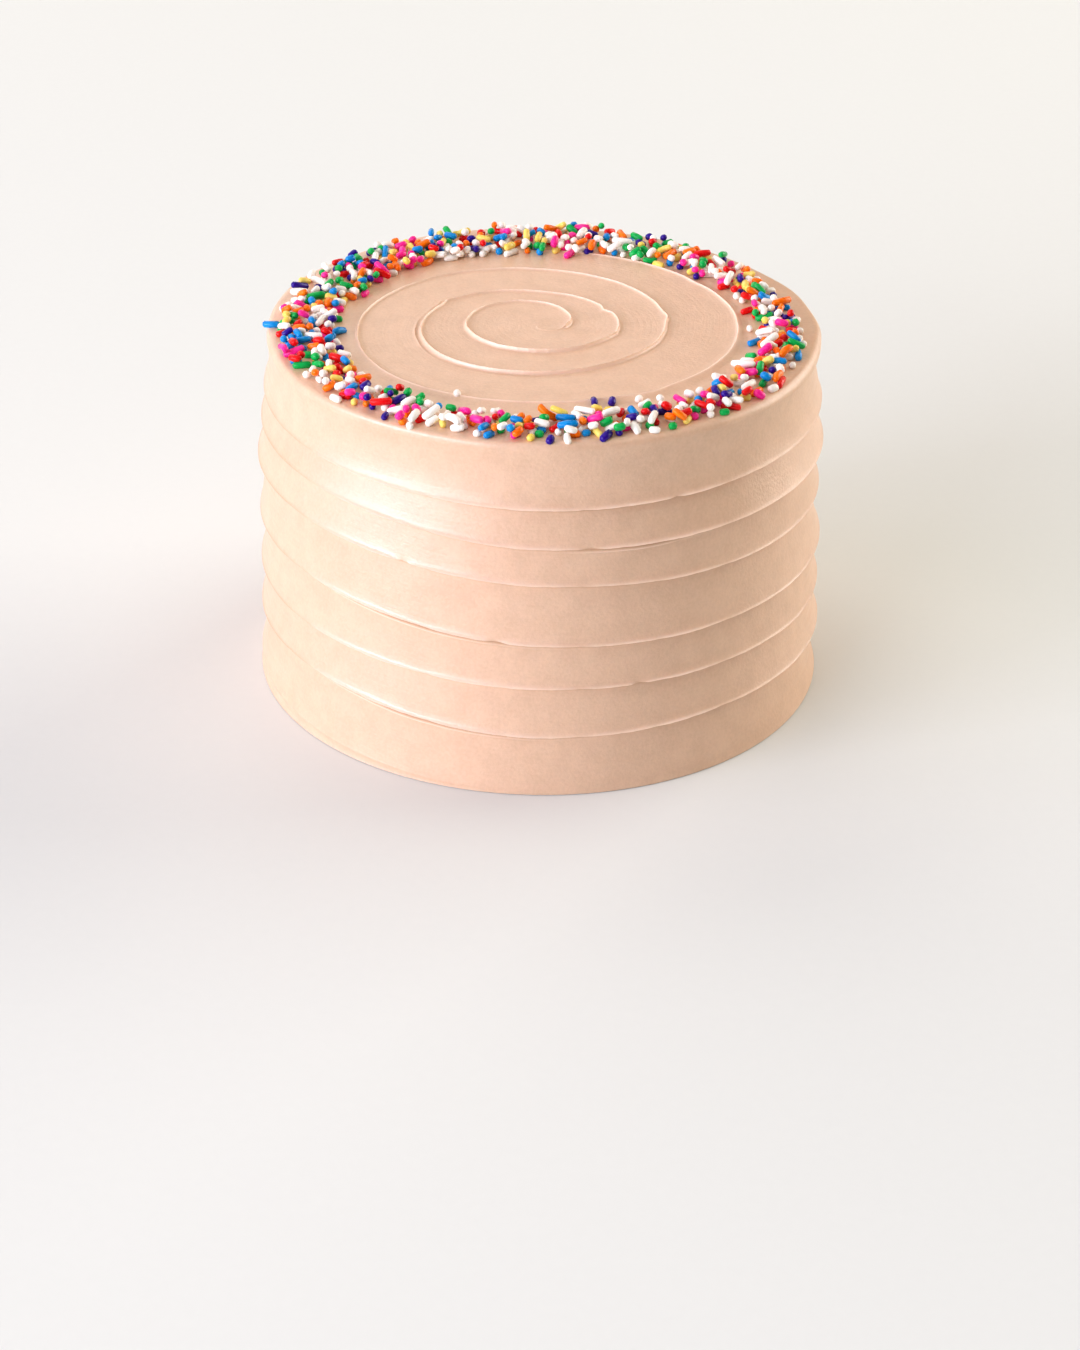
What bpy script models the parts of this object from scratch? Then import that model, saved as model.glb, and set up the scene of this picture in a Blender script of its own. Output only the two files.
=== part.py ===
"""Iced layer cake: one solid with a spiral-smoothed coat and a ring of rod sprinkles.

The cake stands on its flat base with +Z up and its origin at the middle of the base.
A palette knife left one long ridge that winds down the wall, and another that winds
out from the middle of the top. Each band of icing is a strip between one turn of such
a ridge and the next, so the ridges stay crisp on few faces.
"""

import math
import random

import bmesh
import bpy
from mathutils import Euler, Matrix, Vector

MM = 0.001
TURN = 2.0 * math.pi

# Driving sizes of the cake, in metres
CAKE_HEIGHT = 101.5 * MM
BASE_RADIUS = 81.0 * MM
WALL_TAPER = 0.042
RIM_ROUND = 2.8 * MM
RIM_SIDE_TOP = CAKE_HEIGHT - RIM_ROUND

# Faceting: columns in a full turn, and the places at which the ridges' sizes are given
COLUMNS = 48
SIZES_PER_TURN = 8
WELD = 0.002 * MM

# Rows of faces across a band: under the lip, along the hollow and out to the next lip
HOLLOW_PLACE = 0.65
BAND_ROWS = 3
STEEPEST_STEP = 0.15
FULL_BAND = 8.0 * MM

# Height of the wall's ridge, in mm, every eighth of a turn from the right round by the back;
# it leaves the rim an eighth of a turn before the right
WALL_START = -TURN / SIZES_PER_TURN
RIDGE_HEIGHTS = (
    (97.6, 94.5, 91.3, 88.4, 85.9, 85.4, 83.6, 84.0),
    (83.3, 82.2, 80.5, 79.0, 77.2, 76.8, 73.0, 72.5),
    (72.0, 71.0, 69.5, 67.8, 66.2, 66.0, 62.5, 60.4),
    (58.8, 56.2, 53.5, 51.2, 49.3, 49.4, 45.1, 44.2),
    (43.0, 41.0, 38.5, 36.2, 34.2, 34.1, 32.2, 31.5),
    (29.5, 27.0, 24.2, 22.0, 20.4, 21.2, 17.8, 18.4),
    (16.3, 13.6, 10.5, 7.6, 5.0, 2.6, 0.8),
)

# How far that ridge stands out from the plain wall, in mm, every half turn from the right
RIDGE_REACHES = (-1.0, -0.5, -0.3, 0.0, 0.4, 0.8, -0.6, 0.0, -0.1, -0.5, -0.6, -0.8, -0.3, -0.9)
REACHES_PER_TURN = 2
REACH_START = 1.0 / SIZES_PER_TURN

# Depth of a band of the wall, which is cut in under one ridge and flares out to the next;
# the band under the rim is only dished
BAND_HOLLOW = 2.0 * MM
FLARE_POWER = 0.8
DISH_DEPTH = 1.0 * MM
LIP_STEP = 0.7 * MM
LIP_FADE = 0.25
RIM_WAVE_FOOT = 70.0 * MM
RIM_STEPS = 3

# Places where the rim stands proud: angle and half width in degrees, and height in mm
RIM_SWELLS = ((156.0, 12.0, 0.9), (3.0, 7.0, 0.6), (22.0, 8.0, 0.7))

# Radius of the top's ridge, in mm, every eighth of a turn; it starts in the middle, on the left
SWIRL_RADII = (
    (1.4, 3.0, 5.0),
    (7.4, 10.7, 15.0, 18.9, 20.5, 19.2, 18.2, 19.0),
    (21.4, 21.4, 22.8, 28.2, 32.4, 34.6, 32.7, 32.2),
    (34.3, 36.6, 39.5, 44.6, 49.6, 53.4, 52.2, 52.8),
    (54.2, 54.0, 54.6),
)
SWIRL_START = 0.5 * TURN
SWIRL_CENTRE = Vector((-0.6 * MM, 0.6 * MM, 0.0))
SWIRL_LIP = 0.7 * MM
TROUGH_DEPTH = 0.35 * MM
TROUGH_SHARES = (0.0, 1.0, 0.8, 0.0)
SWIRL_STEP = 0.6 * MM
SWIRL_EDGE = 55.5 * MM

# Inner and outer edges of the ring of sprinkles, in mm, every eighth of a turn from the right
# round by the back, for the sprinkles' middles
RING_INNER = (59.0, 57.0, 52.5, 54.5, 57.0, 62.0, 63.0, 61.5)
RING_OUTER = (69.5, 69.5, 70.0, 71.0, 71.5, 72.5, 73.0, 72.0)
RING_OVERHANG = 1.5 * MM

# The heap that stands for the ring's lower layers
HEAP_DEPTH = 1.7 * MM
HEAP_ROWS = (60.0 * MM, 65.0 * MM, 70.0 * MM)
HEAP_THIN_ANGLE = 270.0
HEAP_THIN_WIDTH = 40.0
RING_SPRINKLES = 180
RING_TRIES = 8000
GOLDEN_SHARE = 0.618034
TILT_SPREAD = 9.0
SPRINKLE_THICKNESS = 1.8 * MM
SPRINKLE_SIDES = 5
SPRINKLE_RINGS = 3
SPRINKLE_LENGTHS = (3.6 * MM, 6.4 * MM)
SPRINKLE_SINK = 0.45 * MM
SPRINKLE_GAP = 0.25 * MM
SPRINKLE_SEED = 11

# Sprinkles that lie clear of the ring: place across and back, and length, in mm, and heading in degrees
STRAYS = (
    (43.4, 35.8, 2.8, 80.0),
    (-49.9, 19.4, 3.4, 70.0),
    (-22.0, -47.5, 3.2, 100.0),
    (13.6, -51.0, 4.4, 95.0),
    (18.2, -51.0, 4.2, 85.0),
    (25.2, -49.2, 3.2, 70.0),
    (6.6, -72.8, 4.0, 100.0),
    (-73.6, -3.4, 5.0, 170.0),
)


def clear_scene():
    """Removes every object that the file starts with."""
    for thing in list(bpy.data.objects):
        bpy.data.objects.remove(thing, do_unlink=True)


def smooth_step(low, high, value):
    """Rises from 0 at low to 1 at high, with soft ends."""
    share = min(1.0, max(0.0, (value - low) / (high - low)))
    return share * share * (3.0 - 2.0 * share)


def read_curve(sizes, place):
    """Reads a smooth curve through evenly spaced sizes, held level past its ends."""
    last = len(sizes) - 1
    place = min(float(last), max(0.0, place))
    start = min(int(place), last - 1)
    part = place - start
    before = sizes[max(0, start - 1)]
    here = sizes[start]
    after = sizes[start + 1]
    beyond = sizes[min(last, start + 2)]
    slope_in = 0.5 * (after - before)
    slope_out = 0.5 * (beyond - here)
    cubic = 2.0 * (here - after) + slope_in + slope_out
    square = 3.0 * (after - here) - 2.0 * slope_in - slope_out
    return ((cubic * part + square) * part + slope_in) * part + here


def flat_list(rows, first, last):
    """Joins rows of sizes into one list in metres, between its two end sizes."""
    return [first] + [size * MM for row in rows for size in row] + [last]


WALL_RIDGE = flat_list(RIDGE_HEIGHTS, RIM_SIDE_TOP, 0.0)
TOP_RIDGE = flat_list(SWIRL_RADII, 0.0, SWIRL_EDGE)
WALL_TURNS = (len(WALL_RIDGE) - 1) / SIZES_PER_TURN
TOP_TURNS = (len(TOP_RIDGE) - 1) / SIZES_PER_TURN


def wall_radius(height):
    """Radius of the ridge line at a height: the cake narrows slightly upwards."""
    return BASE_RADIUS - WALL_TAPER * height


def bump(angle, middle, width):
    """A soft bump of height 1 round one angle; all in degrees."""
    away = (math.degrees(angle) - middle + 180.0) % 360.0 - 180.0
    return math.exp(-((away / width) ** 2))


def rim_wave(angle):
    """How far the rim stands out of true at an angle."""
    wave = 0.25 * math.sin(3.0 * angle + 0.6) + 0.15 * math.sin(7.0 * angle)
    swells = sum(height * bump(angle, middle, width) for middle, width, height in RIM_SWELLS)
    return (wave + swells) * MM


def polar(angle, radius, height):
    """A point at an angle from the right, counter-clockwise seen from above."""
    return Vector((radius * math.cos(angle), radius * math.sin(angle), height))


def strip(columns, rows, place):
    """A grid of faces bent by place(column, row) into a band of the cake's surface."""
    band = bmesh.new()
    bmesh.ops.create_grid(band, x_segments=columns, y_segments=rows, size=0.5)
    for vert in band.verts:
        column = round((vert.co.x + 0.5) * columns)
        row = round((vert.co.y + 0.5) * rows)
        vert.co = place(column, row)
    mesh = bpy.data.meshes.new("band")
    band.to_mesh(mesh)
    band.free()
    return mesh


def band_share(row, width, step):
    """How far down or out a band a row lies: a lip, a short step, a trough and the next lip."""
    near = min(step, STEEPEST_STEP * width) / width if width > 0.0 else 0.0
    return (0.0, near, HOLLOW_PLACE, 1.0)[row]


def band_edges(ridge, turns):
    """Where a band lies: the ridge one turn earlier, and the ridge here."""
    return read_curve(ridge, SIZES_PER_TURN * (turns - 1.0)), read_curve(ridge, SIZES_PER_TURN * turns)


def ridge_reach(turns):
    """How far the wall's ridge stands out from the plain wall."""
    return MM * read_curve(RIDGE_REACHES, REACHES_PER_TURN * (turns - REACH_START))


def wall_hollow(turns, share, width):
    """How deep the wall lies behind the straight line from the ridge above to the ridge below."""
    cut = BAND_HOLLOW * (1.0 - share) ** FLARE_POWER
    dish = DISH_DEPTH * 4.0 * share * (1.0 - share)
    under_ridge = smooth_step(1.0, 1.0 + LIP_FADE, turns)
    return (dish + (cut - dish) * under_ridge) * smooth_step(0.0, FULL_BAND, width)


def wall_point(column, row):
    """A point of the wall, on the band between one turn of the ridge and the next."""
    turns = column / COLUMNS
    above, below = band_edges(WALL_RIDGE, turns)
    width = above - below
    share = band_share(row, width, LIP_STEP)
    height = above - share * width
    line = (1.0 - share) * ridge_reach(turns - 1.0) + share * ridge_reach(turns)
    hollow = wall_hollow(turns, share, width) if 0 < row < BAND_ROWS else 0.0
    angle = TURN * turns + WALL_START
    waver = rim_wave(angle) * smooth_step(RIM_WAVE_FOOT, RIM_SIDE_TOP, height)
    return polar(angle, wall_radius(height) + line - hollow + waver, height)


def swirl_lip(turns):
    """How high the top's ridge stands: it starts as a curl and ends under the sprinkles."""
    start = 0.35 + 0.65 * smooth_step(0.45, 0.55, turns)
    return SWIRL_LIP * start * smooth_step(0.0, 0.2, turns) * smooth_step(TOP_TURNS, TOP_TURNS - 0.3, turns)


def swirl_point(column, row):
    """A point of the top, on the band between one turn of the swirl's ridge and the next."""
    turns = column / COLUMNS
    inside, outside = band_edges(TOP_RIDGE, turns)
    width = outside - inside
    share = band_share(row, width, SWIRL_STEP)
    radius = inside + share * width
    fade = smooth_step(0.0, FULL_BAND, width)
    lips = (swirl_lip(turns - 1.0), 0.0, 0.0, swirl_lip(turns))
    height = CAKE_HEIGHT + lips[row] - TROUGH_DEPTH * TROUGH_SHARES[row] * fade
    return SWIRL_CENTRE + polar(TURN * turns + SWIRL_START, radius, height)


def ring_edge(sizes, angle):
    """Radius of one edge of the ring of sprinkles at an angle."""
    place = (angle / TURN % 1.0) * SIZES_PER_TURN
    start = int(place) % SIZES_PER_TURN
    after = sizes[(start + 1) % SIZES_PER_TURN]
    return MM * (sizes[start] + (after - sizes[start]) * smooth_step(0.0, 1.0, place - start))


def heap_height(angle, radius):
    """Height of the lower layers of sprinkles over the icing, thin at the front."""
    inner = max(SWIRL_EDGE, ring_edge(RING_INNER, angle) - RING_OVERHANG)
    outer = ring_edge(RING_OUTER, angle) + RING_OVERHANG
    share = (radius - inner) / (outer - inner)
    if share <= 0.0 or share >= 1.0:
        return 0.0
    rough = 0.2 * math.sin(11.0 * angle) + 0.15 * math.sin(17.0 * angle + 1.0)
    front = 1.0 - 0.6 * bump(angle, HEAP_THIN_ANGLE, HEAP_THIN_WIDTH)
    return HEAP_DEPTH * (0.8 + rough) * front * math.sin(math.pi * share) ** 0.7


def rim_point(column, row):
    """A point between the swirl's edge and the top of the wall, over the rounded rim."""
    angle = TURN * column / COLUMNS + SWIRL_START
    side = wall_radius(RIM_SIDE_TOP) + ridge_reach(0.0)
    flat_rows = (SWIRL_EDGE, *HEAP_ROWS, side - RIM_ROUND)
    if row < len(flat_rows):
        radius = flat_rows[row]
        height = CAKE_HEIGHT + heap_height(angle, radius)
    else:
        lean = 0.5 * math.pi * (row - len(flat_rows) + 1) / RIM_STEPS
        radius = side - RIM_ROUND * (1.0 - math.sin(lean))
        height = RIM_SIDE_TOP + RIM_ROUND * math.cos(lean)
    outward = smooth_step(SWIRL_EDGE, side, radius)
    centre = SWIRL_CENTRE * (1.0 - outward)
    return centre + polar(angle, radius + rim_wave(angle) * outward, height)


def base_point(column, row):
    """A point of the flat base, from its edge to the middle."""
    angle = TURN * column / COLUMNS + WALL_START
    radius = (BASE_RADIUS + ridge_reach(WALL_TURNS)) * (1.0 - row)
    return polar(angle, radius, 0.0)


def make_icing_body():
    """The whole iced cake as one closed solid, before its sprinkles."""
    top_columns = math.ceil((TOP_TURNS + 1.0) * COLUMNS)
    wall_columns = math.ceil((WALL_TURNS + 1.0) * COLUMNS)
    bands = [
        strip(top_columns, BAND_ROWS, swirl_point),
        strip(COLUMNS, len(HEAP_ROWS) + 1 + RIM_STEPS, rim_point),
        strip(wall_columns, BAND_ROWS, wall_point),
        strip(COLUMNS, 1, base_point),
    ]
    whole = bmesh.new()
    for mesh in bands:
        whole.from_mesh(mesh)
        bpy.data.meshes.remove(mesh)
    bmesh.ops.remove_doubles(whole, verts=whole.verts, dist=WELD)
    bmesh.ops.dissolve_degenerate(whole, edges=whole.edges, dist=WELD)
    bmesh.ops.recalc_face_normals(whole, faces=whole.faces)
    bmesh.ops.triangulate(whole, faces=whole.faces)
    mesh = bpy.data.meshes.new("iced_cake")
    whole.to_mesh(mesh)
    whole.free()
    return bpy.data.objects.new("iced_cake", mesh)


def make_sprinkle(length):
    """One rod sprinkle lying along X: a coarse ball drawn out to its length."""
    rod = bmesh.new()
    radius = 0.5 * SPRINKLE_THICKNESS
    bmesh.ops.create_uvsphere(rod, u_segments=SPRINKLE_SIDES, v_segments=SPRINKLE_RINGS, radius=radius)
    reach = 0.5 * length - radius
    girth = 1.0 / math.sin(math.pi / SPRINKLE_RINGS)
    for vert in rod.verts:
        end = math.copysign(reach, vert.co.z)
        vert.co = Vector((vert.co.z + end, vert.co.y * girth, -vert.co.x * girth))
    bmesh.ops.recalc_face_normals(rod, faces=rod.faces)
    mesh = bpy.data.meshes.new("sprinkle")
    rod.to_mesh(mesh)
    rod.free()
    return bpy.data.objects.new("sprinkle", mesh)


def clear_of(ends, others):
    """Whether a rod keeps its gap to every rod already laid, seen from above."""
    reach = SPRINKLE_THICKNESS + SPRINKLE_GAP
    shares = (0.0, 0.25, 0.5, 0.75, 1.0)
    for first, second in others:
        if (ends[0] - first).length > 2.0 * SPRINKLE_LENGTHS[1]:
            continue
        for share in shares:
            spot = ends[0].lerp(ends[1], share)
            if min((spot - first.lerp(second, other)).length for other in shares) < reach:
                return False
    return True


def rod_ends(spot, yaw, length):
    """Middles of a lying rod's two round ends, seen from above."""
    half = Vector((math.cos(yaw), math.sin(yaw), 0.0)) * 0.5 * (length - SPRINKLE_THICKNESS)
    return (spot - half, spot + half)


def lay_rod(collection, spot, length, roll, tilt, yaw):
    """Puts one rod on the heap or the bare icing, sunk a little into it."""
    ground = CAKE_HEIGHT + heap_height(math.atan2(spot.y, spot.x), spot.length)
    middle = Vector((spot.x, spot.y, ground + 0.5 * SPRINKLE_THICKNESS - SPRINKLE_SINK))
    rod = make_sprinkle(length)
    rod.matrix_world = Matrix.Translation(middle) @ Euler((roll, tilt, yaw)).to_matrix().to_4x4()
    collection.objects.link(rod)


def lay_strays(collection, laid):
    """Lays the few sprinkles that fell clear of the ring."""
    for across, back, length, heading in STRAYS:
        spot = Vector((across * MM, back * MM, 0.0))
        yaw = math.radians(heading)
        laid.append(rod_ends(spot, yaw, length * MM))
        lay_rod(collection, spot, length * MM, 0.0, 0.0, yaw)


def lay_ring(collection, laid):
    """Spreads rods evenly round the heap, the longest first, none on another."""
    draw = random.Random(SPRINKLE_SEED)
    short, long = SPRINKLE_LENGTHS
    count = 0
    for step in range(RING_TRIES):
        length = long - (long - short) * count / RING_SPRINKLES
        angle = TURN * (step * GOLDEN_SHARE % 1.0)
        outer = ring_edge(RING_OUTER, angle)
        radius = math.sqrt(draw.uniform(ring_edge(RING_INNER, angle) ** 2, outer ** 2))
        spot = polar(angle, radius, 0.0)
        yaw = draw.uniform(0.0, math.pi)
        tilt = math.radians(draw.gauss(0.0, TILT_SPREAD))
        roll = draw.uniform(0.0, TURN)
        ends = rod_ends(spot, yaw, length)
        inside = max(end.length for end in ends) < outer + RING_OVERHANG
        if inside and clear_of(ends, laid):
            laid.append(ends)
            lay_rod(collection, spot, length, roll, tilt, yaw)
            count += 1
        if count == RING_SPRINKLES:
            break


def fuse(body, collection):
    """Joins every object of the collection to the body and removes them."""
    union = body.modifiers.new("sprinkles", "BOOLEAN")
    union.operation = "UNION"
    union.operand_type = "COLLECTION"
    union.collection = collection
    union.solver = "EXACT"
    bpy.context.view_layer.objects.active = body
    with bpy.context.temp_override(object=body, active_object=body):
        bpy.ops.object.modifier_apply(modifier=union.name)
    for rod in list(collection.objects):
        mesh = rod.data
        bpy.data.objects.remove(rod, do_unlink=True)
        bpy.data.meshes.remove(mesh)
    bpy.data.collections.remove(collection)


def icing_material():
    """Satin buttercream of a pale beige pink."""
    material = bpy.data.materials.new("buttercream")
    material.use_nodes = True
    shader = material.node_tree.nodes["Principled BSDF"]
    shader.inputs["Base Color"].default_value = (0.80, 0.54, 0.38, 1.0)
    shader.inputs["Roughness"].default_value = 0.4
    shader.inputs["Metallic"].default_value = 0.0
    return material


def make_cake():
    """Builds the cake and puts it in its own collection."""
    cake = bpy.data.collections.new("layer_cake")
    toppings = bpy.data.collections.new("toppings")
    bpy.context.scene.collection.children.link(cake)
    bpy.context.scene.collection.children.link(toppings)
    body = make_icing_body()
    cake.objects.link(body)
    laid = []
    lay_strays(toppings, laid)
    lay_ring(toppings, laid)
    fuse(body, toppings)
    body.data.materials.clear()
    body.data.materials.append(icing_material())
    body.data.shade_smooth()
    body.data.set_sharp_from_angle(angle=math.radians(35.0))


clear_scene()
make_cake()
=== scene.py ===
"""Dresses the iced layer cake: buttercream smoothed in spirals and a ring of rod sprinkles.

The coat of icing is one closed mesh. Its wall and its top are long bands that lie between
one turn of a palette knife's ridge and the next, with close rows of faces at the ridges.
The sprinkles are let down one by one, so that each lies on the icing or on those under it.
"""

import logging
import math
from dataclasses import dataclass, field
from enum import Enum

import bpy
import numpy as np
from mathutils import Euler, Matrix, Vector


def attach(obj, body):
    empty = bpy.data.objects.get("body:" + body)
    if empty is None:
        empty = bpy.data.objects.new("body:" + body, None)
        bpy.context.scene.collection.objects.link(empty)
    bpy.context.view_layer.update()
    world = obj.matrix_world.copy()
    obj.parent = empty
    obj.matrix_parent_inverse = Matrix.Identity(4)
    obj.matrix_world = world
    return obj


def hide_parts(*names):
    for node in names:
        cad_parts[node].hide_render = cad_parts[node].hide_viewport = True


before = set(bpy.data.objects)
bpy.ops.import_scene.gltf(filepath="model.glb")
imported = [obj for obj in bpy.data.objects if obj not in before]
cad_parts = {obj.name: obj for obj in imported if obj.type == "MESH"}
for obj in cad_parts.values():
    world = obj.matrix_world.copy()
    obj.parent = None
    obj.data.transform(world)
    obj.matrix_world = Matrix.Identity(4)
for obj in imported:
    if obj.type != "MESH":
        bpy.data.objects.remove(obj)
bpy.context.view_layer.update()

log = logging.getLogger("cake")

MM = 0.001
TURN = 2.0 * math.pi
BODY = "root"
NODE = "iced_cake"


# Small helpers


def smooth_step(low: float, high: float, value: np.ndarray | float) -> np.ndarray:
    """Rises from 0 at low to 1 at high with soft ends, or falls where high is under low."""
    share = np.clip((np.asarray(value, dtype=float) - low) / (high - low), 0.0, 1.0)
    return share * share * (3.0 - 2.0 * share)


def bell(value: np.ndarray, middle: float, width: float) -> np.ndarray:
    """A soft bell of height 1 round a middle, which falls to 1/e at its width."""
    return np.exp(-(((value - middle) / width) ** 2))


def soft_bump(angle: np.ndarray, middle: float, width: float) -> np.ndarray:
    """A soft bell round an angle in radians, with its middle and width in degrees."""
    away = (np.degrees(angle) - middle + 180.0) % 360.0 - 180.0
    return bell(away, 0.0, width)


def share_across(after: np.ndarray, width: np.ndarray) -> np.ndarray:
    """Turns distances into shares of a width, 0 where there is no width."""
    return np.divide(after, width, out=np.zeros_like(after), where=width > 0.0)


def round_points(
    radius: np.ndarray,
    angle: np.ndarray,
    height: np.ndarray,
    centre: tuple[np.ndarray | float, np.ndarray | float] = (0.0, 0.0),
) -> np.ndarray:
    """Points at a radius and an angle round a centre, at a height.

    Args:
        radius: Distances from the centre.
        angle: Angles in radians.
        height: Heights.
        centre: Where the centre is, across and back.

    Returns:
        The points, with their coordinates as the last axis.
    """
    across, back = centre
    return np.stack([across + radius * np.cos(angle), back + radius * np.sin(angle), height], axis=-1)


def read_curve(sizes: np.ndarray, place: np.ndarray) -> np.ndarray:
    """Reads a smooth curve through evenly spaced sizes, held level past its ends.

    Args:
        sizes: The sizes that the curve goes through.
        place: Where to read it, counted in steps from the first size.

    Returns:
        The curve's value at each place.
    """
    last = len(sizes) - 1
    place = np.clip(place, 0.0, last)
    start = np.minimum(place.astype(int), last - 1)
    part = place - start
    here, after = sizes[start], sizes[start + 1]
    slope_in = 0.5 * (after - sizes[np.maximum(start - 1, 0)])
    slope_out = 0.5 * (sizes[np.minimum(start + 2, last)] - here)
    cubic = 2.0 * (here - after) + slope_in + slope_out
    square = 3.0 * (after - here) - 2.0 * slope_in - slope_out
    return ((cubic * part + square) * part + slope_in) * part + here


def deselect_all() -> None:
    """Leaves nothing selected, so that an operator acts on its own piece only."""
    bpy.ops.object.select_all(action="DESELECT")


def linear(hex_colour: str) -> tuple[float, float, float, float]:
    """Turns an sRGB hex colour into the linear colour that a shader takes.

    Args:
        hex_colour: The colour, as "#RRGGBB".

    Returns:
        Linear red, green and blue, and full opacity.
    """
    parts = [int(hex_colour[i : i + 2], 16) / 255.0 for i in (1, 3, 5)]
    light = [p / 12.92 if p <= 0.04045 else ((p + 0.055) / 1.055) ** 2.4 for p in parts]
    return (light[0], light[1], light[2], 1.0)


def add_node(
    material: bpy.types.Material,
    kind: str,
    settings: dict[str | int, object] | None = None,
    links: dict[str | int, bpy.types.NodeSocket] | None = None,
) -> bpy.types.ShaderNode:
    """Adds one node with its settings and links.

    Args:
        material: The material that takes the node.
        kind: The node's type name, after "ShaderNode".
        settings: Values by name or by input number: a property of the node where it has one of
            that name, otherwise an input's value.
        links: For each input, by name or number, the output that feeds it.

    Returns:
        The new node.
    """
    node = material.node_tree.nodes.new(f"ShaderNode{kind}")
    for name, value in (settings or {}).items():
        if isinstance(name, str) and hasattr(node, name):
            setattr(node, name, value)
        else:
            node.inputs[name].default_value = value
    for name, output in (links or {}).items():
        material.node_tree.links.new(output, node.inputs[name])
    return node


# Finishes


@dataclass(frozen=True)
class Buttercream:
    """Butter and sugar whipped smooth and drawn flat with a warm palette knife.

    Gives the eye a satin skin, pale peach, with fine grain, and faint streaks that follow
    the knife round the cake.
    """

    name: str = "buttercream_knife_smoothed"
    colour: str = "#E3BB9A"
    shade: str = "#D9B190"
    tint_spread: float = 0.25
    # Painted highlight on the ridges' thin edges
    painted_highlight_colour: str = "#FFDFC8"
    painted_highlight_strength: float = 0.85
    # Painted shade in the creases and on the edges' undersides at the sides
    painted_shade_colour: str = "#B07C54"
    painted_shade_strength: float = 0.75
    roughness: float = 0.4
    gloss_swing: tuple[float, float] = (-0.05, 0.07)
    ior: float = 1.6
    sheen_of_fat: float = 0.65
    cream_depth: float = 0.2
    cream_radius: tuple[float, float, float] = (1.0, 0.55, 0.35)
    cream_mm: float = 1.6
    # The real specks of air are a few tenths of a millimetre; they are drawn coarser, to show
    grain_mm: float = 0.9
    streak_mm: float = 0.9
    streak_length: float = 40.0
    streak_relief: float = 0.6
    mottle_mm: float = 6.0
    bump_mm: float = 0.09

    def material(self) -> bpy.types.Material:
        """Builds the icing's material.

        Returns:
            A Principled material with mottle, streaks and grain in colour, gloss and bump, and with
            highlight and shade painted at the ridges.
        """
        made = bpy.data.materials.new(self.name)
        made.use_nodes = True
        shader = made.node_tree.nodes["Principled BSDF"]
        shader.inputs["IOR"].default_value = self.ior
        shader.inputs["Specular IOR Level"].default_value = self.sheen_of_fat
        shader.inputs["Subsurface Weight"].default_value = self.cream_depth
        shader.inputs["Subsurface Radius"].default_value = self.cream_radius
        shader.inputs["Subsurface Scale"].default_value = self.cream_mm * MM
        place = add_node(made, "TexCoord")
        mottle = add_node(
            made,
            "TexNoise",
            {"Scale": 1.0 / (self.mottle_mm * MM), "Detail": 3.0, "Roughness": 0.5},
            {"Vector": place.outputs["Object"]},
        )
        # The knife's streaks run along the band, so they follow the piece's own UV map, in metres
        streak = self.streak_mm * MM
        along = add_node(
            made,
            "Mapping",
            {"Scale": (1.0 / (self.streak_length * streak), 1.0 / streak, 1.0)},
            {"Vector": place.outputs["UV"]},
        )
        streaks = add_node(
            made,
            "TexNoise",
            {"Scale": 1.0, "Detail": 2.0, "Roughness": 0.6},
            {"Vector": along.outputs["Vector"]},
        )
        grain = add_node(
            made,
            "TexNoise",
            {"Scale": 1.0 / (self.grain_mm * MM), "Detail": 2.0, "Roughness": 0.6},
            {"Vector": place.outputs["Object"]},
        )
        # Broad mottle and the fine specks of beaten-in air shift the colour together
        speck = add_node(
            made,
            "Math",
            {"operation": "ADD"},
            {0: mottle.outputs["Fac"], 1: grain.outputs["Fac"]},
        )
        blend = add_node(
            made,
            "MapRange",
            {"From Min": 1.0 - self.tint_spread, "From Max": 1.0 + self.tint_spread},
            {"Value": speck.outputs["Value"]},
        )
        tint = add_node(
            made,
            "Mix",
            {"data_type": "RGBA", 6: linear(self.colour), 7: linear(self.shade)},
            {"Factor": blend.outputs["Result"]},
        )
        # Painted highlight: the ridges' thin edges are painted paler than the rest, for the light that
        # catches them and shines through them
        edge = add_node(made, "Attribute", {"attribute_name": "painted_light_and_shade"})
        thin = add_node(
            made,
            "MapRange",
            {"To Max": self.painted_highlight_strength},
            {"Value": edge.outputs["Fac"]},
        )
        skin = add_node(
            made,
            "Mix",
            {"data_type": "RGBA", 7: linear(self.painted_highlight_colour)},
            {"Factor": thin.outputs["Result"], 6: tint.outputs[2]},
        )
        # Painted shade: creases, and the thin edges' undersides at the sides, are painted deeper and
        # warmer, for the shade there and the light that bounces about in a crease
        deep = add_node(
            made,
            "MapRange",
            {"From Max": -1.0, "To Max": self.painted_shade_strength},
            {"Value": edge.outputs["Fac"]},
        )
        crease = add_node(
            made,
            "Mix",
            {"data_type": "RGBA", 7: linear(self.painted_shade_colour)},
            {"Factor": deep.outputs["Result"], 6: skin.outputs[2]},
        )
        # Nearly all of a noise's values lie between 0.3 and 0.7
        glossy, dull = (self.roughness + swing for swing in self.gloss_swing)
        gloss = add_node(
            made,
            "MapRange",
            {"From Min": 0.3, "From Max": 0.7, "To Min": glossy, "To Max": dull},
            {"Value": streaks.outputs["Fac"]},
        )
        relief = add_node(
            made,
            "Math",
            {"operation": "MULTIPLY_ADD", 1: self.streak_relief},
            {0: streaks.outputs["Fac"], 2: grain.outputs["Fac"]},
        )
        bump = add_node(
            made,
            "Bump",
            {"Strength": 1.0, "Distance": self.bump_mm * MM},
            {"Height": relief.outputs["Value"]},
        )
        made.node_tree.links.new(crease.outputs[2], shader.inputs["Base Color"])
        made.node_tree.links.new(gloss.outputs["Result"], shader.inputs["Roughness"])
        made.node_tree.links.new(bump.outputs["Normal"], shader.inputs["Normal"])
        return made


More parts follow.
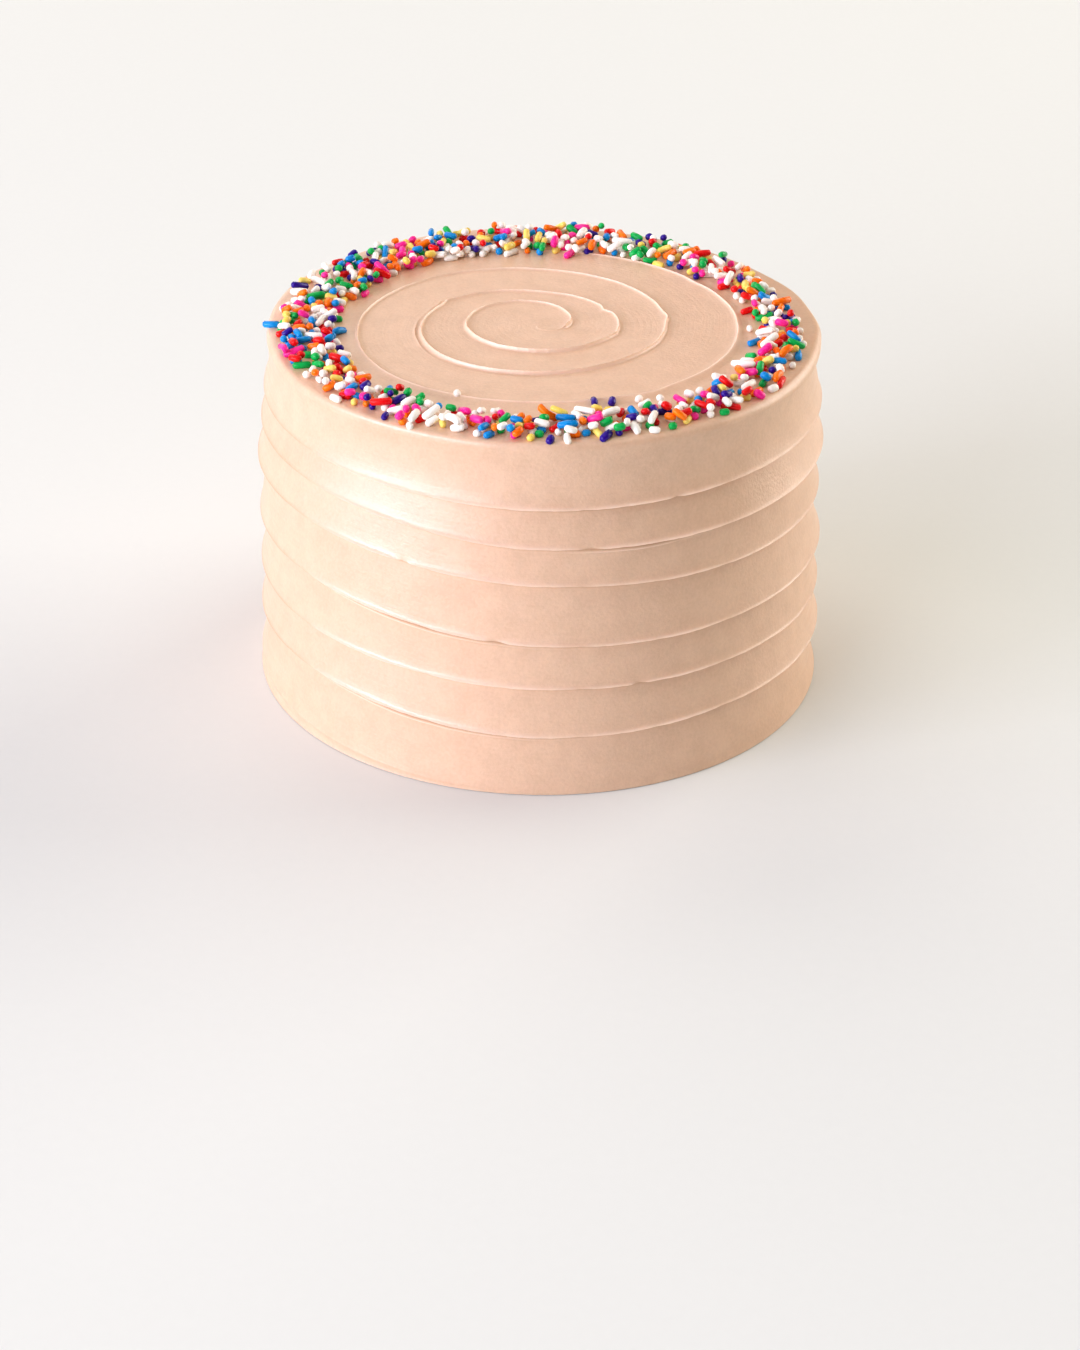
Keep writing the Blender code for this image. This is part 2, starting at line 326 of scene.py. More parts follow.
@dataclass(frozen=True)
class SugarRod:
    """Pressed sugar paste, dyed through, with a thin confectioner's wax.

    Gives the eye a dense flat colour with a soft small highlight, and a rod here and there a
    little paler than its neighbours.
    """

    name: str
    colour: str
    pale: str
    roughness: float = 0.26
    gloss_swing: tuple[float, float] = (-0.06, 0.1)
    ior: float = 1.4
    wax: float = 0.36
    # About a rod's own size, so that the tone shifts from rod to rod
    mottle_mm: float = 2.2
    pale_from: float = 0.35
    pale_to: float = 0.75
    bump_mm: float = 0.03

    def material(self) -> bpy.types.Material:
        """Builds one colour of sprinkle.

        Returns:
            A Principled material whose colour shifts a little from rod to rod.
        """
        made = bpy.data.materials.new(self.name)
        made.use_nodes = True
        shader = made.node_tree.nodes["Principled BSDF"]
        shader.inputs["IOR"].default_value = self.ior
        shader.inputs["Specular IOR Level"].default_value = self.wax
        place = add_node(made, "TexCoord")
        mottle = add_node(
            made,
            "TexNoise",
            {"Scale": 1.0 / (self.mottle_mm * MM), "Detail": 2.0, "Roughness": 0.6},
            {"Vector": place.outputs["Object"]},
        )
        blend = add_node(
            made,
            "MapRange",
            {"From Min": self.pale_from, "From Max": self.pale_to},
            {"Value": mottle.outputs["Fac"]},
        )
        tint = add_node(
            made,
            "Mix",
            {"data_type": "RGBA", 6: linear(self.colour), 7: linear(self.pale)},
            {"Factor": blend.outputs["Result"]},
        )
        glossy, dull = (self.roughness + swing for swing in self.gloss_swing)
        gloss = add_node(
            made,
            "MapRange",
            {"To Min": glossy, "To Max": dull},
            {"Value": mottle.outputs["Fac"]},
        )
        bump = add_node(
            made,
            "Bump",
            {"Strength": 1.0, "Distance": self.bump_mm * MM},
            {"Height": mottle.outputs["Fac"]},
        )
        made.node_tree.links.new(tint.outputs[2], shader.inputs["Base Color"])
        made.node_tree.links.new(gloss.outputs["Result"], shader.inputs["Roughness"])
        made.node_tree.links.new(bump.outputs["Normal"], shader.inputs["Normal"])
        return made


class Colour(Enum):
    """The sprinkles' eight colours: deep tone, paler tone and share of the mix."""

    WHITE = ("#FBF2E4", "#FFFAF0", 0.32)
    RED = ("#E4060E", "#EC1814", 0.11)
    PINK = ("#FA1488", "#FE3C9C", 0.11)
    ORANGE = ("#FF6C00", "#FF8414", 0.11)
    YELLOW = ("#F2D054", "#F8DE7C", 0.09)
    GREEN = ("#00A444", "#08B452", 0.09)
    BLUE = ("#0080CC", "#0896DC", 0.09)
    VIOLET = ("#24007A", "#32108C", 0.08)

    @property
    def finish(self) -> SugarRod:
        """The finish of this colour's rods."""
        deep, pale, _ = self.value
        return SugarRod(f"dyed_sugar_{self.name.lower()}", deep, pale)

    @property
    def share(self) -> float:
        """This colour's share of the mix."""
        return self.value[2]


# The coat of icing


@dataclass
class Ridge:
    """A ridge that winds round the cake, given by its height or radius every eighth of a turn.

    Attributes:
        rows: Its sizes, heights or radii, in millimetres, eight to a turn.
        first: The size at the ridge's start, in metres.
        last: The size at its end.
        start: The start's angle in radians, counter-clockwise from the right.
        wobble: How far it wanders off its smooth line, in metres.
        seed: Draws the wander.
        kinks: Short sideways kinks: turns from the start, half length in turns, and size in mm.
        per_turn: Sizes to a turn.
        wander_waves: Waves to a turn of the wander.
        steady: Turns over which the wander comes in at the start and dies away at the end.
        sizes: All the sizes in one run, in metres.
        turns: How many turns the ridge makes.
    """

    rows: tuple[tuple[float, ...], ...]
    first: float
    last: float
    start: float
    wobble: float
    seed: int
    kinks: tuple[tuple[float, float, float], ...] = ()
    per_turn: int = 8
    wander_waves: tuple[float, ...] = (5.3, 9.1, 14.7, 23.9, 41.3, 67.7)
    steady: float = 0.4
    sizes: np.ndarray = field(init=False)
    turns: float = field(init=False)

    def __post_init__(self) -> None:
        """Joins the rows into one run of sizes."""
        inner = [size * MM for row in self.rows for size in row]
        self.sizes = np.array([self.first, *inner, self.last])
        self.turns = (len(self.sizes) - 1) / self.per_turn

    def at(self, turns: np.ndarray) -> np.ndarray:
        """Reads the ridge's size.

        Args:
            turns: Turns from its start.

        Returns:
            Its size at each of these, in metres, with its wander and kinks.
        """
        draw = np.random.default_rng(self.seed)
        wander = np.zeros_like(turns)
        for waves in self.wander_waves:
            phase = draw.uniform(0.0, TURN)
            wander += np.sin(TURN * waves * turns + phase) / math.sqrt(waves)
        coming = smooth_step(0.0, self.steady, turns)
        going = smooth_step(self.turns, self.turns - self.steady, turns)
        kinked = sum(size * MM * bell(turns, place, spread) for place, spread, size in self.kinks)
        smooth = read_curve(self.sizes, self.per_turn * turns)
        return smooth + self.wobble * wander * coming * going + kinked


@dataclass
class IcingCoat:
    """The whole coat of buttercream, closed under the cake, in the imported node's place.

    Lengths are in metres unless a comment says otherwise, and turns are counted from a
    ridge's start. The height, the radii and the ridges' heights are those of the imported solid.
    """

    finish: Buttercream = Buttercream()

    # The plain wall and its rim, crisper round one angle (middle and width in degrees)
    height: float = 101.5 * MM
    base_radius: float = 81.0 * MM
    taper: float = 0.042
    rim_round: float = 2.2 * MM
    crispness: float = 0.5
    crisp_rim: tuple[float, float] = (235.0, 45.0)

    # How far the rim stands out of true: waves to a turn, size in mm and phase, then swells at
    # an angle and half width in degrees with a size in mm
    rim_wave_foot: float = 70.0 * MM
    rim_waves: tuple[tuple[float, float, float], ...] = ((3.0, 0.25, 0.6), (7.0, 0.15, 0.0))
    rim_swells: tuple[tuple[float, float, float], ...] = (
        (156.0, 12.0, 0.9),
        (3.0, 7.0, 0.6),
        (22.0, 8.0, 0.7),
    )

    # How far the wall's ridge stands out from the plain wall, in mm, every half turn from the right
    ridge_reaches: tuple[float, ...] = (
        -1.0, -0.5, -0.3, 0.0, 0.4, 0.8, -0.6,
        0.0, -0.1, -0.5, -0.6, -0.8, -0.3, -0.9,
    )
    reach_start: float = 0.125

    # The hollow of the wall's band, deeper at the sides and deepest at the right
    band_hollow: float = 1.3 * MM
    side_hollow: float = 1.6 * MM
    right_extra: float = 0.2
    flare_power: float = 0.8
    dish_depth: float = 1.0 * MM
    undercut: float = 0.22 * MM
    hollow_grows: tuple[float, float] = (0.0, 0.25)

    # The thin edge of the wall's ridge. It curls out less at the sides, grows and fades over a
    # range of turns, and is nicked at some turns
    curl: float = 0.55 * MM
    curl_inner: float = 0.42 * MM
    curl_outer: float = 0.07 * MM
    curl_loss: float = 0.85
    curl_sides: tuple[float, float] = (0.5, 0.95)
    curl_waves: tuple[float, ...] = (11.0, 23.0, 47.0, 95.0, 170.0)
    curl_roughness: float = 0.22
    curl_limits: tuple[float, float] = (0.25, 1.7)
    curl_seed: int = 17
    ridge_grows: tuple[float, float] = (0.1, 0.4)
    ridge_fades: tuple[float, float] = (6.45, 6.2)
    nicks: tuple[float, ...] = (0.95, 1.903, 2.80, 3.852, 4.93, 5.71)
    nick_length: float = 0.004
    nick_depth: float = 1.4

    # Where highlight is painted, paler, at a thin edge, and shade is painted, deeper at the sides and
    # deepest in a crease
    lip_width: float = 0.35 * MM
    lip_under: float = 0.1 * MM
    side_painted_shade: float = 0.8
    painted_shade_sides: tuple[float, float] = (0.6, 0.95)
    crease_drop: float = 0.6 * MM
    crease_width: float = 0.35 * MM

    # Second folds under the ridge: turns and half length in turns
    fold_drop: float = 1.5 * MM
    fold_share: float = 0.85
    folds: tuple[tuple[float, float], ...] = ((3.80, 0.06), (5.80, 0.07), (1.93, 0.03))

    # The top's swirl; its tip is given by place, half length in turns and extra height
    swirl_edge: float = 55.5 * MM
    swirl_centre: tuple[float, float] = (-0.6 * MM, 0.6 * MM)
    swirl_lip: float = 0.75 * MM
    # How strong the painted highlight along the ridge is, and how far down its outer flank it reaches
    swirl_painted_highlight: float = 0.6
    swirl_flank: float = 0.3 * MM
    swirl_faint: float = 0.15
    swirl_grows: tuple[float, float] = (0.44, 0.5)
    swirl_tip: tuple[float, float, float] = (0.5, 0.05, 0.5)
    swirl_ends: tuple[float, float] = (0.2, 0.3)
    trough: float = 0.35 * MM
    fin: float = 0.2 * MM
    swell: float = 1.2 * MM
    flare_shares: tuple[float, float, float] = (0.45, 0.2, 0.35)

    # Faint lines beside the swirl's ridge: turns, half length in turns and height in mm
    echo_gap: float = 1.7 * MM
    echo_width: float = 0.22 * MM
    echoes: tuple[tuple[float, float, float], ...] = (
        (2.93, 0.02, 0.3),
        (3.04, 0.05, 0.3),
        (3.27, 0.10, 0.2),
    )

    # The mesh: columns to a turn, rows near a ridge by their distance from it in mm, and the rest
    columns: int = 400
    after_ridge: tuple[float, ...] = (0.0, 0.08, 0.2, 0.4, 0.7, 1.1, 1.5, 1.7, 2.0, 2.6)
    before_ridge: tuple[float, ...] = (3.6, 2.0, 1.1, 0.7, 0.4, 0.18, 0.0)
    between_rows: int = 1
    full_band: float = 8.0 * MM
    flat_rows: int = 8
    round_rows: int = 10
    base_rows: int = 3
    streak_radius: float = 40.0 * MM
    weld: float = 0.002 * MM
    sharp_from: float = math.radians(60.0)

    wall_ridge: Ridge = field(init=False)
    top_ridge: Ridge = field(init=False)

    def __post_init__(self) -> None:
        """Sets the two ridges by the cake's own sizes."""
        self.wall_ridge = Ridge(
            rows=(
                (97.6, 94.5, 91.3, 88.4, 85.9, 85.4, 83.6, 84.0),
                (83.3, 82.2, 80.5, 79.0, 77.2, 76.8, 73.0, 72.5),
                (72.0, 71.0, 69.5, 67.8, 66.2, 66.0, 62.5, 60.4),
                (58.8, 56.2, 53.5, 51.2, 49.3, 49.4, 45.1, 44.2),
                (43.0, 41.0, 38.5, 36.2, 34.2, 34.1, 32.2, 31.5),
                (29.5, 27.0, 24.2, 22.0, 20.4, 21.2, 17.8, 18.4),
                (16.3, 13.6, 10.5, 7.6, 5.0, 2.6, 0.8),
            ),
            first=self.height - self.rim_round,
            last=0.0,
            start=-TURN / 8.0,
            wobble=0.12 * MM,
            seed=5,
        )
        self.top_ridge = Ridge(
            rows=(
                (1.4, 3.0, 5.0),
                (7.4, 10.7, 15.0, 18.9, 20.5, 19.2, 18.2, 19.0),
                (21.4, 21.4, 22.8, 28.2, 32.4, 34.6, 32.7, 32.2),
                (34.3, 36.6, 39.5, 44.6, 49.6, 53.4, 52.2, 52.8),
                (54.2, 54.0, 54.6),
            ),
            first=0.0,
            last=self.swirl_edge,
            start=0.5 * TURN,
            wobble=0.14 * MM,
            seed=8,
            kinks=(
                (1.46, 0.012, 0.5),
                (1.583, 0.014, -1.1),
                (1.915, 0.010, 0.9),
                (2.53, 0.012, 0.7),
                (3.345, 0.012, 0.9),
                (3.60, 0.012, -0.5),
            ),
        )

    @property
    def side(self) -> float:
        """Radius of the wall's face where the rim's rounding starts."""
        return float(self.wall_radius(self.height - self.rim_round) + self.reach(np.zeros(1))[0])

    def wall_radius(self, height: np.ndarray | float) -> np.ndarray | float:
        """Radius of the ridge line at a height: the cake narrows a little upwards."""
        return self.base_radius - self.taper * height

    def reach(self, turns: np.ndarray) -> np.ndarray:
        """How far the wall's ridge stands out from the plain wall."""
        return MM * read_curve(np.array(self.ridge_reaches), 2.0 * (turns - self.reach_start))

    def wall_hollow(self, turns: np.ndarray, after: np.ndarray, width: np.ndarray) -> np.ndarray:
        """How deep the wall lies behind the straight line from the ridge above to the one below.

        Args:
            turns: The ridge's turns at each column.
            after: Distance under the ridge above.
            width: The band's height at each column.

        Returns:
            The depth at each vertex, in metres.
        """
        share = share_across(after, width)
        rightward = self.rightward(turns)
        sideways = rightward**2 * (1.0 + self.right_extra * rightward)
        flare = np.clip(1.0 - share, 0.0, 1.0) ** self.flare_power
        cut = (self.band_hollow + self.side_hollow * sideways) * flare
        below_fold = np.maximum(after - self.fold_drop, 0.0)
        plain_step = 1.0 - np.exp(-after / self.undercut)
        folded_step = (1.0 - self.fold_share) * plain_step
        folded_step = folded_step + self.fold_share * (1.0 - np.exp(-below_fold / self.undercut))
        cut = cut * (plain_step + (folded_step - plain_step) * self.fold(turns - 1.0))
        dish = self.dish_depth * 4.0 * share * (1.0 - share)
        grown = smooth_step(*self.hollow_grows, turns - 1.0)
        under_ridge = grown * smooth_step(*self.ridge_fades, turns - 1.0)
        return (dish + (cut - dish) * under_ridge) * smooth_step(0.0, self.full_band, width)

    def rim_wave(self, angle: np.ndarray) -> np.ndarray:
        """How far the rim stands out of true.

        Args:
            angle: Angles in radians.

        Returns:
            The distance outwards at each angle, in metres.
        """
        wave = sum(size * np.sin(waves * angle + phase) for waves, size, phase in self.rim_waves)
        for middle, width, height in self.rim_swells:
            wave = wave + height * soft_bump(angle, middle, width)
        return wave * MM

    def circle(self, start: float) -> np.ndarray:
        """Angles of the columns of a whole turn, as one row."""
        return (TURN * np.arange(self.columns + 1) / self.columns + start)[None, :]

    def band_turns(self, ridge: Ridge) -> np.ndarray:
        """Turns of a band's columns: it ends one turn after its ridge does."""
        return np.arange(math.ceil((ridge.turns + 1.0) * self.columns) + 1) / self.columns

    def band_rows(self, width: np.ndarray) -> np.ndarray:
        """Distances of a band's rows of vertices from the ridge before it.

        Args:
            width: The band's width at each column.

        Returns:
            One row of distances for each row of vertices, one column for each column.
        """
        near = np.array(self.after_ridge)[:, None] * MM
        far = np.array(self.before_ridge)[:, None] * MM
        room = np.minimum(1.0, width / self.full_band)
        first, last = near * room, width - far * room
        steps = np.linspace(0.0, 1.0, self.between_rows + 2)[1:-1, None]
        middle = first[-1:] + steps * (last[:1] - first[-1:])
        return np.vstack([first, middle, last])

    def band_profile(self, after: np.ndarray, before: np.ndarray, width: np.ndarray) -> np.ndarray:
        """How deep the icing lies behind its ridges across a band, from 0 to 1.

        The knife leaves a steep step just past one ridge, then a long shallow hollow that
        flares out to the next ridge's thin edge.

        Args:
            after: Distance past the ridge before.
            before: Distance to the ridge ahead.
            width: The band's width.

        Returns:
            The depth at each point, as a share of the full hollow.
        """
        thin, broad, long = self.flare_shares
        step = 1.0 - np.exp(-after / self.fin)
        flare = thin * (1.0 - np.exp(-before / self.fin)) + broad * (1.0 - np.exp(-before / self.swell))
        slope = long * np.clip(before / np.maximum(width, MM), 0.0, 1.0)
        return step * (flare + slope) * smooth_step(0.0, self.full_band, width)

    def strip(
        self, points: np.ndarray, along: np.ndarray, across: np.ndarray, painted_light_and_shade: np.ndarray
    ) -> bpy.types.Object:
        """Bends a grid of faces into one band of the coat.

        Args:
            points: Places of the vertices, by row and column.
            along: The knife's way at each vertex, in metres, for the streaks.
            across: The place across the band at each vertex, in metres.
            painted_light_and_shade: Painted highlight and shade, 1 at a ridge's thin edge, 0 on plain
                icing, -1 in a crease.

        Returns:
            The band, with a UV map that follows the knife, and its painted highlight and shade as an
            attribute.
        """
        rows, columns = points.shape[0] - 1, points.shape[1] - 1
        deselect_all()
        bpy.ops.mesh.primitive_grid_add(x_subdivisions=columns, y_subdivisions=rows, size=1.0)
        band = bpy.context.active_object
        mesh = band.data
        places = np.empty(len(mesh.vertices) * 3)
        mesh.vertices.foreach_get("co", places)
        places = places.reshape(-1, 3)
        column = np.rint((places[:, 0] + 0.5) * columns).astype(int)
        row = np.rint((places[:, 1] + 0.5) * rows).astype(int)
        mesh.vertices.foreach_set("co", points[row, column].ravel())
        corners = np.empty(len(mesh.loops), dtype=int)
        mesh.loops.foreach_get("vertex_index", corners)
        flat = np.stack([along[row, column], across[row, column]], axis=1)
        mesh.uv_layers.active.data.foreach_set("uv", flat[corners].ravel())
        edge = mesh.attributes.new("painted_light_and_shade", "FLOAT", "POINT")
        edge.data.foreach_set("value", np.clip(painted_light_and_shade[row, column], -1.0, 1.0))
        mesh.update()
        return band

    def wall(self) -> bpy.types.Object:
        """The wall: one band that winds from the rim to the base.

        Returns:
            The band, with highlight painted on its thin edges and shade painted in its creases and on
            the edges' undersides at the sides.
        """
        ridge = self.wall_ridge
        turns = self.band_turns(ridge)
        # The band hangs from the ridge of the turn before, down to the ridge of this turn
        above, below = ridge.at(turns - 1.0), ridge.at(turns)
        width = np.maximum(above - below, 0.0)
        after = self.band_rows(width)
        before = width - after
        height = above - after
        angle = TURN * turns + ridge.start + np.zeros_like(after)
        share = share_across(after, width)
        line = (1.0 - share) * self.reach(turns - 1.0) + share * self.reach(turns)
        radius = self.wall_radius(height) + line - self.wall_hollow(turns, after, width)
        radius = radius + self.wall_curl(turns) * np.exp(-before / self.curl_inner)
        radius = radius + self.wall_curl(turns - 1.0) * np.exp(-after / self.curl_outer)
        near_rim = smooth_step(self.rim_wave_foot, self.height - self.rim_round, height)
        radius = radius + self.rim_wave(angle) * near_rim
        # Painted highlight on the ridges' thin edges, and painted shade on their undersides at the
        # sides
        here, ahead = self.edge_light_and_shade(turns - 1.0), self.edge_light_and_shade(turns)
        painted_light_and_shade = ahead * np.exp(-before / self.lip_width) + here * np.exp(-after / self.lip_under)
        # Painted highlight along the edge of a second fold
        painted_light_and_shade = painted_light_and_shade + self.fold(turns - 1.0) * bell(after, self.fold_drop, self.lip_under)
        # Painted shade in the crease under the ridge above
        under_ridge = self.ridge_share(turns - 1.0)
        painted_light_and_shade = painted_light_and_shade - under_ridge * bell(after, self.crease_drop, self.crease_width)
        points = round_points(radius, angle, height)
        return self.strip(points, self.base_radius * angle, after, painted_light_and_shade)

    def rightward(self, turns: np.ndarray) -> np.ndarray:
        """How far to the right the wall's ridge is: 1 at the right, -1 at the left."""
        return np.cos(TURN * turns + self.wall_ridge.start)

    def ridge_share(self, turns: np.ndarray) -> np.ndarray:
        """How much of the ridge's edge there is: it grows near the rim and fades near the base."""
        return smooth_step(*self.ridge_grows, turns) * smooth_step(*self.ridge_fades, turns)

    def fold(self, turns: np.ndarray) -> np.ndarray:
        """How fully a second fold of icing hangs under the wall's ridge, from 0 to 1."""
        return sum(bell(turns, place, spread) for place, spread in self.folds)

    def edge_light_and_shade(self, turns: np.ndarray) -> np.ndarray:
        """Painted light and shade on the ridge's thin edge: a pale painted highlight, but painted
        shade, deep, at the sides, where its underside shows.

        Args:
            turns: Turns from the ridge's start.

        Returns:
            The painted tone at each of these, above 0 where highlight is painted and below 0 where
            shade is painted.
        """
        sideways = np.abs(self.rightward(turns))
        deep = smooth_step(*self.painted_shade_sides, sideways) * self.ridge_share(turns)
        return self.wall_curl(turns) / self.curl - self.side_painted_shade * deep

    def wall_curl(self, turns: np.ndarray) -> np.ndarray:
        """How far the ridge's thin edge curls out, uneven along it and nicked here and there.

        Args:
            turns: Turns from the ridge's start.

        Returns:
            The curl at each of these, in metres.
        """
        draw = np.random.default_rng(self.curl_seed)
        rough = np.zeros_like(turns)
        for waves in self.curl_waves:
            weight = math.sqrt(self.curl_waves[0] / waves)
            rough += weight * np.sin(TURN * waves * turns + draw.uniform(0.0, TURN))
        uneven = np.clip(1.0 + self.curl_roughness * rough, *self.curl_limits)
        for place in self.nicks:
            uneven = uneven - self.nick_depth * bell(turns, place, self.nick_length)
        sideways = np.abs(self.rightward(turns))
        uneven = uneven * (1.0 - self.curl_loss * smooth_step(*self.curl_sides, sideways))
        return self.curl * uneven * self.ridge_share(turns)

    def swirl(self) -> bpy.types.Object:
        """The top: one band that winds out from the middle.

        Returns:
            The band, with highlight painted on its thin edges.
        """
        ridge = self.top_ridge
        turns = self.band_turns(ridge)
        inside, outside = ridge.at(turns - 1.0), ridge.at(turns)
        width = np.maximum(outside - inside, 0.0)
        after = self.band_rows(width)
        before = width - after
        radius = inside + after
        deep = self.band_profile(after, before, width)
        angle = TURN * turns + ridge.start + np.zeros_like(after)
        proud_before, proud_here = self.swirl_pride(turns - 1.0), self.swirl_pride(turns)
        share = share_across(after, width)
        proud = proud_before * (1.0 - share) + proud_here * share
        height = self.height + (self.swirl_lip - (self.swirl_lip + self.trough) * deep) * proud
        for place, spread, size in self.echoes:
            along_it = bell(turns, place, spread)
            height = height + size * MM * along_it * bell(after, self.echo_gap, self.echo_width)
        # Painted highlight along the swirl's ridge and down its outer flank
        painted_light_and_shade = self.swirl_painted_highlight * proud_here * np.exp(-before / self.lip_width)
        painted_light_and_shade = painted_light_and_shade + proud_before * np.exp(-after / self.swirl_flank)
        points = round_points(radius, angle, height, self.swirl_centre)
        return self.strip(points, self.streak_radius * angle, after, painted_light_and_shade)

    def swirl_pride(self, turns: np.ndarray) -> np.ndarray:
        """How high the top's ridge stands: a curl at its start, fading out under the sprinkles.

        Args:
            turns: Turns from the ridge's start.

        Returns:
            Its height at each of these, as a share of the full height.
        """
        grown = self.swirl_faint + (1.0 - self.swirl_faint) * smooth_step(*self.swirl_grows, turns)
        tip_place, tip_length, tip_rise = self.swirl_tip
        start = grown + tip_rise * bell(turns, tip_place, tip_length)
        coming, going = self.swirl_ends
        last = self.top_ridge.turns
        return start * smooth_step(0.0, coming, turns) * smooth_step(last, last - going, turns)

    def rim(self) -> bpy.types.Object:
        """The top's flat edge under the sprinkles, and the rounded rim.

        Returns:
            The band that joins the swirl to the wall.
        """
        angle = self.circle(self.top_ridge.start)
        flat = np.linspace(self.swirl_edge, self.side - self.rim_round, self.flat_rows + 1)[:, None]
        flat = flat + np.zeros_like(angle)
        lean = np.linspace(0.0, 0.5 * math.pi, self.round_rows + 1)[1:, None]
        power = 1.0 - self.crispness * soft_bump(angle, *self.crisp_rim)
        radius = np.vstack([flat, self.side - self.rim_round * (1.0 - np.sin(lean) ** power)])
        fall = np.vstack([np.zeros_like(flat), self.rim_round * (1.0 - np.cos(lean) ** power)])
        outward = smooth_step(self.swirl_edge, self.side, radius)
        reach = radius + self.rim_wave(angle) * outward
        across, back = (shift * (1.0 - outward) for shift in self.swirl_centre)
        points = round_points(reach, angle, self.height - fall, (across, back))
        along = self.side * angle + np.zeros_like(reach)
        return self.strip(points, along, radius, np.zeros_like(radius))

    def base(self) -> bpy.types.Object:
        """The flat base.

        Returns:
            The band that closes the coat from underneath.
        """
        share = np.linspace(1.0, 0.0, self.base_rows + 1)[:, None]
        angle = self.circle(self.wall_ridge.start)
        foot = self.base_radius + self.reach(np.full(1, self.wall_ridge.turns))[0]
        radius = foot * share + np.zeros_like(angle)
        points = round_points(radius, angle, np.zeros_like(radius))
        return self.strip(points, radius * angle, radius, np.zeros_like(radius))

    def build(self) -> bpy.types.Object:
        """Joins and welds the bands, and dresses the coat.

        Returns:
            The finished piece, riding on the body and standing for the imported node.
        """
        bands = [self.wall(), self.swirl(), self.rim(), self.base()]
        deselect_all()
        for band in bands:
            band.select_set(True)
        bpy.context.view_layer.objects.active = bands[0]
        bpy.ops.object.join()
        coat = bpy.context.active_object
        coat.name = coat.data.name = "buttercream_coat"
        bpy.ops.object.mode_set(mode="EDIT")
        bpy.ops.mesh.select_all(action="SELECT")
        bpy.ops.mesh.remove_doubles(threshold=self.weld)
        bpy.ops.mesh.dissolve_degenerate(threshold=self.weld)
        bpy.ops.mesh.select_all(action="SELECT")
        bpy.ops.mesh.normals_make_consistent(inside=False)
        bpy.ops.object.mode_set(mode="OBJECT")
        coat.data.shade_smooth()
        coat.data.set_sharp_from_angle(angle=self.sharp_from)
        coat.data.materials.clear()
        coat.data.materials.append(self.finish.material())
        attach(coat, BODY)
        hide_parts(NODE)
        log.info("coat of icing: %d faces", len(coat.data.polygons))
        return coat


# The sprinkles


